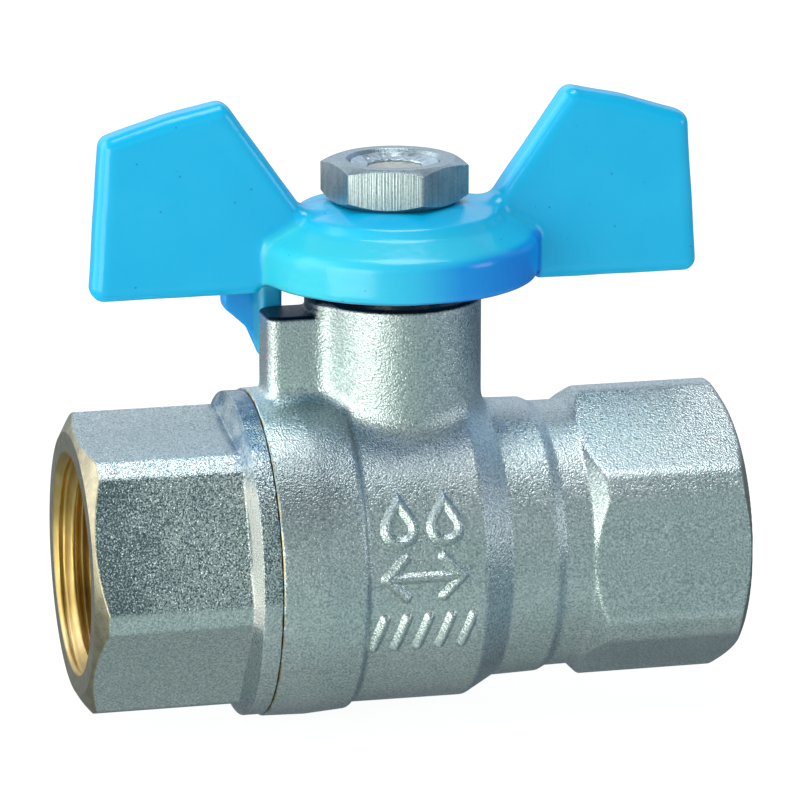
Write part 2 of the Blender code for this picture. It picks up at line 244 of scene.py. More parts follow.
def cast(name, node, voxel, field):
    """A CAD node remeshed finely and drawn onto the surface where the field is zero."""
    source = frame["nodes"][node]
    work = bpy.data.objects.new(name + "_work", source.data.copy())
    bpy.context.scene.collection.objects.link(work)
    remesh = work.modifiers.new("voxels", "REMESH")
    remesh.mode = "VOXEL"
    remesh.voxel_size = voxel * MM
    graph = bpy.context.evaluated_depsgraph_get()
    mesh = bpy.data.meshes.new_from_object(work.evaluated_get(graph))
    bpy.data.objects.remove(work)
    mesh.name = name
    points = np.empty(len(mesh.vertices) * 3, np.float32)
    mesh.vertices.foreach_get("co", points)
    points = (points.reshape(-1, 3).astype(float) - np.array(CENTRE)) / MM
    for _ in range(4):
        points -= step_to(points, field)
    mesh.vertices.foreach_set("co", (points * MM + np.array(CENTRE)).astype(np.float32).ravel())
    mesh.update()
    return mesh


def step_to(points, field):
    """How far each point is from the field's zero, along the field's slope."""
    nudge = 0.02
    value = field(points)
    slope = np.empty_like(points)
    for axis in range(3):
        moved = points.copy()
        moved[:, axis] += nudge
        slope[:, axis] = (field(moved) - value) / nudge
    steep = np.maximum((slope**2).sum(1), 0.25)
    return slope * (value / steep)[:, None]


# ---------------------------------------------------------------- forged body

BODY_PROFILE = rounded([
    (JOINT_X, 0, 0),
    (JOINT_X, 15.8, 0.12),
    (-10.5, 15.92, 4),
    (-6.6, 15.66, 0.25),
    (-6.1, BARREL, 0.3),
    (5.1, BARREL + 0.06, 0.9),
    (8.1, 13.5, 0.45),
    (12.6, 13.38, 0.7),
    (13.5, 12.93, 0.6),
    (16.3, 12.9, 0.5),
    (18.7, 15.3, 0),
    (END - (15.3 - OUTLET_FACE) * tan(CHAMFER), 15.3, 0),
    (END, OUTLET_FACE, 0.12),
    (END, 0, 0),
])
CAVITY_PROFILE = [
    (JOINT_X - 3, 0),
    (JOINT_X - 3, SOCKET),
    (SOCKET_FLOOR, SOCKET),
    (SOCKET_FLOOR, CHAMBER),
    (SEAT_BACK + 0.3, CHAMBER),
    (SEAT_BACK + 0.3, WATERWAY),
    (END - THREAD_DEPTH, WATERWAY),
    (END - THREAD_DEPTH, THREAD_MOUTH),
    (END + 3, THREAD_MOUTH),
    (END + 3, 0),
]
STEM_PASSAGE = [
    (0, 0),
    (6, 0),
    (6, COUNTERBORE_ROOF),
    (STEM_BORE, COUNTERBORE_ROOF),
    (STEM_BORE, 30),
    (0, 30),
]


def body_field(points):
    """The forging: turned ring, barrel and waist, the outlet's hexagon, the neck and both stop lugs."""
    x, y, z = points.T
    about_pipe = np.hypot(y, z)
    about_stem = np.hypot(x, y)
    forging = outline_distance(x, about_pipe, BODY_PROFILE)
    hexagon = hexagon_distance(-y, z, HEX_APOTHEM, OUTLET_CORNER, OUTLET_TURN, 0.35)
    forging = overlap(forging, hexagon - 4 * np.maximum(13.4 - x, 0), 0.2)

    top = z - NECK_TOP
    neck = overlap(about_stem - NECK, top, 0.5)
    lug_top = overlap(top, -overlap(LUG_STEP - about_stem, LUG_TOP - z, 0.3), 0.5)
    above = 4 - z
    open_sides = overlap(np.abs(y) - 2.8, np.maximum(-13.2 - x, x), 1.3)
    open_lug = overlap(np.maximum(open_sides, above), lug_top, 0.55)
    closed_sides = overlap(np.abs(x - 7.35) - 1.45, np.maximum(y - 12.6, 5 - y), 1.2)
    closed_lug = overlap(np.maximum(closed_sides, above), lug_top, 0.55)
    neck = np.maximum(neck, 11 - z)
    upper = union(union(neck, open_lug, 1.5), closed_lug, 0.5)
    # The fillet round the neck's foot shrinks toward the left lug's end.
    foot_fillet = np.clip(1.7 + (x + 12.4) * 1.4, 0.4, 1.7)
    body = union(forging, upper, foot_fillet)
    body = overlap(body, -outline_distance(x, about_pipe, CAVITY_PROFILE), 0.15)
    return overlap(body, -outline_distance(about_stem, z, STEM_PASSAGE), 0.15)


# ---------------------------------------------------------------- cast handle

HUB_PROFILE = rounded([
    (0, HUB_BOTTOM, 0),
    (HUB, HUB_BOTTOM, 0.7),
    (HUB, 30.5, 1.5),
    (10.3, 32.15, 0.7),
    (9.6, 33.1, 0.5),
    (6.6, NUT_SEAT, 1.5),
    (0, NUT_SEAT, 0),
])
HUB_RECESS = [(6.2, 20), (10.4, 20), (10.4, HUB_BOTTOM + 2), (6.2, HUB_BOTTOM + 2)]
WING_PROFILE = rounded([
    (12.6, 29.5, 0),
    (13.5, 25.66, 0.8),
    (29.7, 25.66, 1.2),
    (28.58, 41.15, 1.3),
    (22.2, 43.15, 12),
    (16.7, 44.35, 1.3),
    (9.1, 33.5, 2.5),
    (6.8, 33.2, 0),
    (5.0, 30.0, 0),
])
WING_SHIFT = 0.2
RIB_PROFILE = rounded([
    (-11.6, 28.0, 0),
    (-16.3, 28.0, 0),
    (-16.3, 23.4, 1.2),
    (-13.9, 21.2, 1.5),
    (-12.75, 18.5, 0.3),
    (-11.6, 18.5, 0),
])


def block_distance(points, low, high, rounding):
    """Distance to a block between two corners, with its edges rounded."""
    middle = (np.array(low) + np.array(high)) / 2
    half = (np.array(high) - np.array(low)) / 2 - rounding
    out = np.abs(points - middle) - half
    outside = np.sqrt((np.maximum(out, 0) ** 2).sum(1))
    return outside + np.minimum(out.max(1), 0) - rounding


def handle_field(points):
    """The casting: stepped hub, two wings, and the stop tab with its rib."""
    x, y, z = points.T
    about_stem = np.hypot(x, y)
    hub = outline_distance(about_stem, z, HUB_PROFILE)
    hub = overlap(hub, -outline_distance(about_stem, z, HUB_RECESS), 0.3)
    wing = overlap(outline_distance(np.abs(x + WING_SHIFT), z, WING_PROFILE), np.abs(y) - 2, 1.6)
    casting = union(hub, wing, 1.4)
    tab = block_distance(points, (-12.6, 3.1, 18.3), (-10.6, 5.6, 28), 0.35)
    web = block_distance(points, (-16.3, 1.2, 25.9), (-10.8, 5.5, 28.4), 0.4)
    rib = overlap(outline_distance(x, z, RIB_PROFILE), np.abs(y - 4.35) - 0.95, 0.5)
    stop = union(union(tab, rib, 0.5), web, 0.5)
    casting = union(casting, stop, 0.6)
    hole = overlap(about_stem - HANDLE_HOLE, np.abs(y) - 3.1, 0.2)
    return overlap(casting, -hole, 0.3)


def lumps(point, size):
    """Smooth unevenness from -1 to 1, whose features are about this size in millimetres."""
    return noise.noise(Vector(point) / size)


def roughen(mesh, height, size):
    """Moves each vertex a little along its normal, as a sand-cast surface wanders."""
    moved = []
    for vertex, normal in zip(mesh.vertices, mesh.vertex_normals):
        offset = lumps((vertex.co - CENTRE) / MM, size) * height * MM
        moved.append(vertex.co + normal.vector * offset)
    mesh.vertices.foreach_set("co", np.array(moved, np.float32).ravel())
    mesh.update()


# ---------------------------------------------------------------- turned and threaded pieces


def hexagon_radius(angle, apothem, corner, turn, rounding=0.1):
    """How far a hexagon with cut and slightly rounded corners reaches at an angle."""
    reaches = []
    for k in range(12):
        off = cos(angle - radians(turn) - k * pi / 6)
        if off > 0.3:
            reaches.append((corner if k % 2 else apothem) / off)
    reaches.sort()
    near = max(rounding - (reaches[1] - reaches[0]), 0)
    return reaches[0] - near * near / (4 * rounding)


def cap_section(angle):
    """The end cap's outline: face, chamfer, flat, bevel, collar, spigot, seat pocket and bores."""
    flat = hexagon_radius(angle, HEX_APOTHEM, INLET_CORNER, INLET_TURN)
    collar_back = JOINT_X - JOINT_GAP
    return rounded([
        (-END, THREAD_MOUTH, 0.05),
        (-END, INLET_FACE, 0.05),
        (-END + (flat - INLET_FACE) * tan(CHAMFER), flat, 0.1),
        (BEVEL_START, flat, 0.25),
        (BEVEL_END, COLLAR, 0.16),
        (collar_back, COLLAR, 0.1),
        (collar_back, SOCKET - 0.3, 0),
        (SOCKET_FLOOR - 0.3, SOCKET - 0.3, 0.1),
        (SOCKET_FLOOR - 0.3, CHAMBER, 0.1),
        (-SEAT_BACK - 0.3, CHAMBER, 0),
        (-SEAT_BACK - 0.3, WATERWAY, 0.1),
        (-END + THREAD_DEPTH, WATERWAY, 0.1),
        (-END + THREAD_DEPTH, THREAD_MOUTH, 0),
    ])


def thread_section(side):
    """The section of a threaded sleeve at one end of the valve, as a function of the angle."""
    per_turn = 14
    rows = int(THREAD_DEPTH / THREAD_PITCH * per_turn)

    def section(angle):
        outline = []
        for i in range(rows + 1):
            depth = THREAD_DEPTH * i / rows + 0.02
            phase = (depth / THREAD_PITCH - side * angle / (2 * pi)) % 1
            groove = min(max((abs(2 * phase - 1) * 1.35 - 0.18), 0), 1)
            groove = groove * groove * (3 - 2 * groove)
            radius = THREAD_MINOR + (THREAD_MAJOR - THREAD_MINOR) * groove
            radius = max(radius, THREAD_MOUTH - depth * 0.9)
            outline.append((side * (END - depth), radius))
        outline.append((side * (END - THREAD_DEPTH), THREAD_SLEEVE))
        outline.append((side * (END - 0.05), THREAD_SLEEVE))
        return outline

    return section


def nut_section(angle):
    """The nut's outline: flats, chamfers at both ends, countersink and hole."""
    flat = hexagon_radius(angle, NUT_APOTHEM, 1.155 * NUT_APOTHEM, NUT_TURN, 0.08)
    face = 0.93 * NUT_APOTHEM
    return rounded([
        (NUT_TOP, NUT_HOLE + 0.7, 0.12),
        (NUT_TOP, face, 0.15),
        (NUT_TOP - (flat - face) * tan(radians(20)), flat, 0.06),
        (NUT_SEAT + 0.05 + (flat - face) * tan(CHAMFER), flat, 0.06),
        (NUT_SEAT + 0.05, face, 0.1),
        (NUT_SEAT + 0.05, NUT_HOLE, 0.1),
        (NUT_TOP - 1.0, NUT_HOLE, 0.1),
    ], steps=3)


def burr_section(angle):
    """The stem's end staked out into the nut: a ragged flange and a smooth wall above it."""
    ragged = 0.22 * lumps((3 * cos(angle), 3 * sin(angle), 7), 0.8)
    tall = 0.2 + 0.16 * lumps((4 * cos(angle), 4 * sin(angle), 2), 0.7)
    return rounded([
        (STEM_TOP + 0.02, 2.6 + ragged, 0.03),
        (STEM_TOP + tall, 2.7 + ragged, 0.08),
        (STEM_TOP + tall + 0.12, 3.45, 0.1),
        (NUT_TOP - 0.3, 4.0, 0.05),
        (NUT_TOP - 0.3, 4.25, 0.05),
        (STEM_TOP + 0.02, 3.8, 0.03),
    ], steps=3)


def ball_section(_):
    """The ball's outline: the bore, its rounded rims and the sphere."""
    half_bore = asin((WATERWAY + 0.25) / BALL)
    turns = [half_bore + (pi - 2 * half_bore) * k / 60 for k in range(61)]
    sphere = [(BALL * cos(t), BALL * sin(t)) for t in turns]
    rim = sphere[0][0] - 0.1
    eased = WATERWAY + 0.05
    return sphere + [(-rim, eased), (-rim + 0.5, WATERWAY), (rim - 0.5, WATERWAY), (rim, eased)]


def seat_section(side):
    """The section of a seat ring, whose hollow front faces the ball."""
    inner, outer, reach = WATERWAY + 0.2, CHAMBER - 0.3, BALL + 0.3
    start, end = asin(inner / reach), acos(SEAT_FRONT / reach)
    turns = [start + (end - start) * k / 12 for k in range(13)]
    front = [(side * reach * cos(t), reach * sin(t)) for t in turns]
    back = [(side * SEAT_FRONT, outer), (side * SEAT_BACK, outer), (side * SEAT_BACK, inner)]
    return lambda angle: front + back


# ---------------------------------------------------------------- raised marks

MARK_HEIGHT = 0.5
MARK_ROWS = (5.7, 0.3, -5.3)
MARK_CENTRE = -0.9
STROKE = 0.5


def segment_distance(u, v, a, b):
    """Distance from points to a line between two ends."""
    du, dv = b[0] - a[0], b[1] - a[1]
    along = np.clip(((u - a[0]) * du + (v - a[1]) * dv) / (du * du + dv * dv), 0, 1)
    return np.hypot(u - a[0] - along * du, v - a[1] - along * dv)


def drop_distance(u, v, middle, size):
    """Distance to the outline stroke of a water drop: a circle with a pointed top."""
    turns = [radians(150 + 240 * k / 20) for k in range(21)]
    outline = [(middle[0] + size * cos(t), middle[1] + size * sin(t)) for t in turns]
    outline.append((middle[0], middle[1] + 1.95 * size))
    return np.abs(outline_distance(u, v, outline) + STROKE) - STROKE


def marks_distance(u, v):
    """Distance to the raised marks: two water drops, a two-way flow arrow and a row of slanted bars."""
    drops, arrow, bars = MARK_ROWS
    found = np.minimum(
        drop_distance(u, v, (-2.2, drops - 0.7), 1.85),
        drop_distance(u, v, (2.2, drops - 0.7), 1.85),
    )
    lines = [((-3.2, arrow), (3.2, arrow))]
    for side in (-1, 1):
        lines.append(((3.7 * side, arrow), (1.8 * side, arrow + 1.9)))
        lines.append(((3.7 * side, arrow), (1.8 * side, arrow - 1.9)))
    for k in range(-2, 3):
        lines.append(((2.15 * k - 0.5, bars - 1.6), (2.15 * k + 0.5, bars + 1.6)))
    for a, b in lines:
        found = np.minimum(found, segment_distance(u, v, a, b) - STROKE)
    return found


def marks_mesh():
    """A curved patch of the barrel's skin that rises out of it only at the marks."""
    step = 0.1
    along = np.arange(-5.5, 5.1, step)
    up = np.arange(-8.5, 9.0, step)
    u, v = np.meshgrid(along, up)
    edge = np.clip((0.25 - marks_distance(u, v)) / 0.75, 0, 1)
    height = MARK_HEIGHT * edge * edge * (3 - 2 * edge)
    radius = BARREL - 0.05 + height
    angle = v / BARREL + radians(2)
    x = u + MARK_CENTRE
    front = np.stack([x, -radius * np.cos(angle), radius * np.sin(angle)], -1).reshape(-1, 3)
    inner = np.stack([x, -14 * np.cos(angle), 14 * np.sin(angle)], -1).reshape(-1, 3)
    rows, columns = u.shape
    faces = []
    for base, flip in ((0, 1), (rows * columns, -1)):
        for i in range(rows - 1):
            for j in range(columns - 1):
                k = base + i * columns + j
                faces.append((k, k + 1, k + columns + 1, k + columns)[::flip])
    rim = list(range(columns))
    rim += [i * columns + columns - 1 for i in range(1, rows)]
    rim += [(rows - 1) * columns + j for j in range(columns - 2, -1, -1)]
    rim += [i * columns for i in range(rows - 2, 0, -1)]
    back = rows * columns
    for a, b in zip(rim, rim[1:] + rim[:1]):
        faces.append((a, a + back, b + back, b))
    return mesh_from("raised_marks", np.concatenate([front, inner]), faces)


# ---------------------------------------------------------------- materials


class Nodes:
    """Adds nodes to the tree of one material, or of the world, and joins them."""

    def __init__(self, owner, coordinate="Object"):
        owner.use_nodes = True
        self.owner = owner
        self.tree = owner.node_tree
        self.place = self.add("ShaderNodeTexCoord").outputs[coordinate]

    def add(self, kind, **settings):
        """A node with its properties set."""
        made = self.tree.nodes.new(kind)
        for key, value in settings.items():
            setattr(made, key, value)
        return made

    def join(self, value, socket):
        """Links an output, or sets a plain value."""
        if isinstance(value, bpy.types.NodeSocket):
            self.tree.links.new(value, socket)
        else:
            socket.default_value = value

    def noise(self, scale, detail=2.0, rough=0.5, at=None):
        """Soft noise, whose scale is in features per metre."""
        made = self.add("ShaderNodeTexNoise")
        self.join(at or self.place, made.inputs["Vector"])
        made.inputs["Scale"].default_value = scale
        made.inputs["Detail"].default_value = detail
        made.inputs["Roughness"].default_value = rough
        return made.outputs["Fac"]

    def stretched(self, *scales):
        """The place on the object, scaled along X, Y and Z."""
        made = self.add("ShaderNodeMapping")
        self.join(self.place, made.inputs["Vector"])
        made.inputs["Scale"].default_value = scales
        return made.outputs["Vector"]

    def speckle(self, scale):
        """The distance from each point to the nearest of many scattered grains."""
        made = self.add("ShaderNodeTexVoronoi")
        self.join(self.place, made.inputs["Vector"])
        made.inputs["Scale"].default_value = scale
        return made.outputs["Distance"]

    def ramp(self, value, *stops):
        """A colour ramp through (position, colour) stops."""
        made = self.add("ShaderNodeValToRGB")
        self.join(value, made.inputs["Fac"])
        elements = made.color_ramp.elements
        for i, (position, colour) in enumerate(stops):
            element = elements[i] if i < 2 else elements.new(position)
            element.position = position
            element.color = (*colour, 1)
        return made.outputs["Color"]

    def span(self, value, low, high, to_low, to_high):
        """A value mapped from one range to another, and held inside it."""
        made = self.add("ShaderNodeMapRange")
        for name, v in (("Value", value), ("From Min", low), ("From Max", high)):
            self.join(v, made.inputs[name])
        made.inputs["To Min"].default_value = to_low
        made.inputs["To Max"].default_value = to_high
        return made.outputs["Result"]

    def math(self, operation, a, b=0.0):
        """One sum on two values."""
        made = self.add("ShaderNodeMath", operation=operation)
        self.join(a, made.inputs[0])
        self.join(b, made.inputs[1])
        return made.outputs[0]

    def mix(self, share, a, b):
        """A blend of two colours."""
        made = self.add("ShaderNodeMix", data_type="RGBA")
        self.join(share, made.inputs["Factor"])
        self.join(a, made.inputs[6])
        self.join(b, made.inputs[7])
        return made.outputs[2]

    def tint(self, share, colour):
        """A colour to multiply by: white where the share is zero, and this one where it is one."""
        return self.ramp(share, (0.0, (1.0, 1.0, 1.0)), (1.0, colour))

    def multiply(self, a, b):
        """The product of two colours."""
        made = self.add("ShaderNodeMix", data_type="RGBA", blend_type="MULTIPLY")
        made.inputs["Factor"].default_value = 1.0
        self.join(a, made.inputs[6])
        self.join(b, made.inputs[7])
        return made.outputs[2]

    def axes(self):
        """The X, Y and Z of the place on the object, in metres."""
        made = self.add("ShaderNodeSeparateXYZ")
        self.join(self.place, made.inputs[0])
        return made.outputs

    def bump(self, height, distance, strength=1.0, after=None):
        """A bump of this distance in metres, over an earlier one."""
        made = self.add("ShaderNodeBump")
        self.join(height, made.inputs["Height"])
        made.inputs["Distance"].default_value = distance
        made.inputs["Strength"].default_value = strength
        if after:
            self.join(after, made.inputs["Normal"])
        return made.outputs["Normal"]

    def finish(self, colour, roughness, normal=None, metallic=1.0, **sockets):
        """Sets the shader's main sockets."""
        shader = self.tree.nodes["Principled BSDF"]
        self.join(colour, shader.inputs["Base Color"])
        self.join(roughness, shader.inputs["Roughness"])
        shader.inputs["Metallic"].default_value = metallic
        if normal:
            self.join(normal, shader.inputs["Normal"])
        for name, value in sockets.items():
            self.join(value, shader.inputs[name])
        return self.owner


def radius_from(nodes, u, v):
    """The distance from an axis, given the two axes across it."""
    squares = nodes.math("ADD", nodes.math("MULTIPLY", u, u), nodes.math("MULTIPLY", v, v))
    return nodes.math("SQRT", squares)


def pits(n):
    """Dark pits on the cap's upright flat and on the collar beyond it, thickest near the open end."""
    x, y, z = n.axes()
    turn = radians(INLET_TURN)
    out = n.math("ADD", n.math("MULTIPLY", y, -cos(turn)), n.math("MULTIPLY", z, sin(turn)))
    along = n.math("ADD", n.math("MULTIPLY", y, sin(turn)), n.math("MULTIPLY", z, cos(turn)))
    within = n.span(n.math("ABSOLUTE", along), FLAT_HALF * MM, (FLAT_HALF + 0.5) * MM, 1.0, 0.0)
    outer = n.span(out, (HEX_APOTHEM - 0.8) * MM, (HEX_APOTHEM - 0.4) * MM, 0.0, 1.0)
    thick = n.span(x, 2 * MM, 7.5 * MM, 0.11, 0.0)
    grains = n.math("SUBTRACT", n.noise(6200, 1, 0.5), thick)
    drift = n.span(n.noise(320, 2), 0.35, 0.65, -0.03, 0.03)
    deep = n.span(n.math("SUBTRACT", grains, drift), 0.40, 0.54, 1.0, 0.0)
    return n.tint(n.math("MULTIPLY", n.math("MULTIPLY", within, outer), deep), (0.24, 0.30, 0.32))


def bevel(n):
    """Painted highlight: one on a band of the bright turned bevel between the cap's upright flat and its
    collar, where light falls on it, and zero elsewhere.
    """
    x, y, z = n.axes()
    start, end = END + BEVEL_START, END + BEVEL_END
    raised = n.span(radius_from(n, y, z), (HEX_APOTHEM + 0.3) * MM, (HEX_APOTHEM + 0.6) * MM, 0.0, 1.0)
    band = n.math("MULTIPLY", raised, n.span(x, (end - 0.05) * MM, (end + 0.05) * MM, 1.0, 0.0))
    # Painted highlight: the band keeps to mid height on the bevel, where light catches it.
    low = n.span(z, -4 * MM, -2.5 * MM, 0.0, 1.0)
    high = n.span(z, 9 * MM, 10.5 * MM, 1.0, 0.0)
    band = n.math("MULTIPLY", band, n.math("MINIMUM", low, high))
    return n.math("MULTIPLY", band, n.span(x, (start - 0.25) * MM, (start + 0.05) * MM, 0.0, 1.0))


def painted_collar_shade(n):
    """Painted shade in blue-black patches on top of the cap's collar, below the handle."""
    x, _, z = n.axes()
    # Painted shade: darkens only the top of the collar, where the handle above shades it.
    high = n.span(z, 9.5 * MM, 12.5 * MM, 0.0, 1.0)
    on_collar = n.math("MULTIPLY", high, n.span(x, 14 * MM, 14.6 * MM, 0.0, 1.0))
    patches = n.span(n.noise(420, 3, 0.6), 0.38, 0.58, 0.25, 1.0)
    return n.tint(n.math("MULTIPLY", on_collar, patches), (0.30, 0.42, 0.56))


def painted_shade_under_handle(n):
    """Painted shade, near black, where the neck's end and the lugs' tops face the handle."""
    x, y, z = n.axes()
    about_stem = radius_from(n, n.math("SUBTRACT", x, END * MM), y)
    aside = n.span(about_stem, (NECK + 0.2) * MM, (NECK + 1.2) * MM, 0.0, 1.0)
    lug_tops = n.span(z, (LUG_TOP - 0.45) * MM, (LUG_TOP - 0.2) * MM, 0.0, 1.0)
    neck_end = n.span(z, (NECK_TOP - 0.5) * MM, (NECK_TOP - 0.25) * MM, 0.0, 1.0)
    share = n.math("MAXIMUM", n.math("MULTIPLY", aside, lug_tops), neck_end)
    # Painted shade: the near-black tint stands in for the shadow under the handle.
    return n.tint(share, (0.04, 0.045, 0.07))


def ring_painted_light(n):
    """Painted light on the ring's top next to the joint: painted shade on its shoulder and a painted
    highlight at the lug's foot.
    """
    x, _, z = n.axes()
    # Painted shade lower on the shoulder and a painted highlight higher up, set by height alone.
    light_level = n.ramp(
        n.span(z, 4 * MM, 20 * MM, 0.0, 1.0),
        (0.00, (1.0, 1.0, 1.0)),
        (0.34, (0.55, 0.57, 0.58)),
        (0.48, (0.58, 0.60, 0.61)),
        (0.62, (1.25, 1.25, 1.22)),
        (0.80, (1.25, 1.25, 1.22)),
        (1.00, (1.0, 1.0, 1.0)),
    )
    return n.mix(n.span(x, 21.5 * MM, 25.5 * MM, 0.0, 1.0), light_level, (1.0, 1.0, 1.0, 1.0))


def plated_forging(name, machined, marks, coarse=1.0, bright=None):
    """Sand-blasted nickel plate, smoother low down, tinted by each of the marks; some marks are painted
    shade and painted light.

    It is bare turned brass where machined(nodes) says, and carries a painted highlight, whitish and rougher,
    where bright(nodes) says.
    """
    n = Nodes(bpy.data.materials.new(name))
    grain = n.noise(5000, 1, 0.5)
    grit = n.speckle(7000)
    patches = n.noise(130, 3)
    plate = n.ramp(
        grain,
        (0.30, (0.36, 0.42, 0.42)),
        (0.50, (0.54, 0.595, 0.59)),
        (0.70, (0.74, 0.78, 0.77)),
    )
    for mark in marks:
        plate = n.multiply(plate, mark(n))
    tone = n.ramp(patches, (0.35, (0.92, 0.97, 0.955)), (0.65, (1.0, 1.0, 1.0)))
    bare = machined(n)
    brass = n.ramp(n.noise(900, 2), (0.35, (0.39, 0.34, 0.22)), (0.65, (0.52, 0.46, 0.30)))
    colour = n.mix(bare, n.multiply(plate, tone), brass)
    rough = n.span(n.math("ADD", grain, n.math("MULTIPLY", patches, 0.5)), 0.5, 1.0, 0.26, 0.38)
    # The last argument paints a highlight: a whitish colour and more roughness on its band.
    if bright:
        painted_highlight_share = bright(n)
        painted_highlight_colour = n.ramp(grain, (0.3, (0.72, 0.71, 0.67)), (0.7, (0.82, 0.80, 0.75)))
        colour = n.mix(painted_highlight_share, colour, painted_highlight_colour)
        rough = n.math("ADD", rough, n.math("MULTIPLY", painted_highlight_share, 0.25))
    depth = n.span(n.axes()[2], -8 * MM, 2 * MM, 0.35, 1.0)
    depth = n.math("MULTIPLY", depth, n.span(bare, 0.0, 1.0, 1.0, 0.2))
    blasted = n.bump(n.math("MULTIPLY", grain, depth), 0.06 * MM * coarse)
    blasted = n.bump(n.math("MULTIPLY", grit, depth), 0.025 * MM * coarse, after=blasted)
    return n.finish(colour, rough, blasted, 0.95)


def end_face(n, inward, face_radius):
    """One on a turned end face and its chamfer, and zero elsewhere, from the distance in from the end."""
    _, y, z = n.axes()
    beyond = n.math("SUBTRACT", radius_from(n, y, z), face_radius * MM)
    cone = n.math("MULTIPLY", beyond, tan(CHAMFER))
    behind = n.math("SUBTRACT", inward, n.math("MAXIMUM", cone, 0.0))
    return n.span(behind, 0.06 * MM, 0.12 * MM, 1.0, 0.0)


def joint_edge(n, x):
    """One on flecks along the joint, where tightening has bared the brass, and zero elsewhere."""
    off = n.math("ABSOLUTE", n.math("SUBTRACT", x, (END + JOINT_X) * MM))
    near = n.span(off, 0.08 * MM, 0.16 * MM, 1.0, 0.0)
    return n.math("MULTIPLY", near, n.span(n.noise(700, 3), 0.46, 0.54, 0.0, 1.0))


def inlet_machined(n):
    """The bare places on the end cap."""
    x = n.axes()[0]
    return n.math("MAXIMUM", end_face(n, x, INLET_FACE), joint_edge(n, x))


def outlet_machined(n):
    """The bare places on the body."""
    x = n.axes()[0]
    inward = n.math("SUBTRACT", 2 * END * MM, x)
    return n.math("MAXIMUM", end_face(n, inward, OUTLET_FACE), joint_edge(n, x))


def bare_brass(name):
    """Freshly cut brass with fine turning marks round the pipe's axis."""
    n = Nodes(bpy.data.materials.new(name))
    lines = n.noise(900, 3, 0.6, n.stretched(6, 0.4, 0.4))
    colour = n.ramp(
        n.noise(260, 3),
        (0.3, (0.50, 0.34, 0.11)),
        (0.5, (0.62, 0.44, 0.16)),
        (0.7, (0.74, 0.56, 0.27)),
    )
    rough = n.span(lines, 0.3, 0.7, 0.36, 0.50)
    return n.finish(colour, rough, n.bump(lines, 0.02 * MM), 1.0)


def painted_hub_light(n, x, z, about_stem):
    """Painted light on the hub's slope and rim: its share and colour, lit cyan on the left and deepening to
    painted shade toward the right along the rim.
    """
    above_slope = n.math("ADD", z, n.math("MULTIPLY", about_stem, 0.53))
    share = n.math(
        "MULTIPLY",
        n.span(about_stem, (HUB + 0.3) * MM, (HUB + 0.5) * MM, 1.0, 0.0),
        n.span(above_slope, 37.9 * MM, 38.6 * MM, 1.0, 0.0),
    )
    share = n.math("MULTIPLY", share, n.span(about_stem, 8.5 * MM, 11 * MM, 0.0, 1.0))
    across = n.span(x, (END - 10) * MM, (END + 12) * MM, 0.0, 1.0)
    on_rim = n.span(z, 30 * MM, 31 * MM, 1.0, 0.4)
    # Painted light: lit cyan on the left, painted shade deepening to the right.
    colour = n.ramp(
        n.math("MULTIPLY", across, on_rim),
        (0.0, (0.04, 0.60, 0.74)),
        (0.40, (0.02, 0.48, 0.78)),
        (0.60, (0.001, 0.28, 0.76)),
        (1.0, (0.001, 0.21, 0.75)),
    )
    return share, colour


def handle_paint(name):
    """Glossy light-blue paint over an uneven casting, with nibs and specks, painted light on the hub, and
    painted shade, dark at the hub's lower edge and deeper blue on the stop tab.
    """
    n = Nodes(bpy.data.materials.new(name))
    x, y, z = n.axes()
    about_stem = radius_from(n, n.math("SUBTRACT", x, END * MM), y)
    pools = n.noise(160, 3)
    paint = n.ramp(
        pools,
        (0.3, (0.001, 0.455, 0.79)),
        (0.5, (0.001, 0.465, 0.80)),
        (0.7, (0.002, 0.475, 0.81)),
    )
    # Painted light and shade on the hub's slope and rim.
    hub_light_share, hub_light_colour = painted_hub_light(n, x, z, about_stem)
    paint = n.mix(hub_light_share, paint, hub_light_colour)

    # Painted shade along the hub's lower edge.
    edge = n.span(z, HUB_BOTTOM * MM, (HUB_BOTTOM + 0.35) * MM, 1.0, 0.0)
    edge = n.math("MULTIPLY", edge, n.span(z, (HUB_BOTTOM - 0.3) * MM, (HUB_BOTTOM - 0.1) * MM, 0.0, 1.0))
    on_hub = n.span(about_stem, (HUB + 0.1) * MM, (HUB + 0.3) * MM, 1.0, 0.0)
    painted_hub_edge_shade = n.tint(n.math("MULTIPLY", edge, on_hub), (0.3, 0.3, 0.55))
    # Painted shade: deeper blue on the stop tab below the hub.
    painted_tab_shade = n.tint(n.span(z, 24.8 * MM, 25.6 * MM, 1.0, 0.0), (0.5, 0.72, 1.0))
    specks = n.tint(n.span(n.speckle(420), 0.03, 0.06, 1.0, 0.0), (0.4, 0.55, 0.7))
    colour = n.multiply(n.multiply(n.multiply(paint, painted_hub_edge_shade), painted_tab_shade), specks)

    peel = n.bump(n.noise(900, 2), 0.03 * MM)
    nibs = n.span(n.speckle(700), 0.0, 0.12, 1.0, 0.0)
    normal = n.bump(nibs, 0.03 * MM, 0.5, peel)
    return n.finish(colour, n.span(pools, 0.3, 0.7, 0.18, 0.26), normal, 0.0)


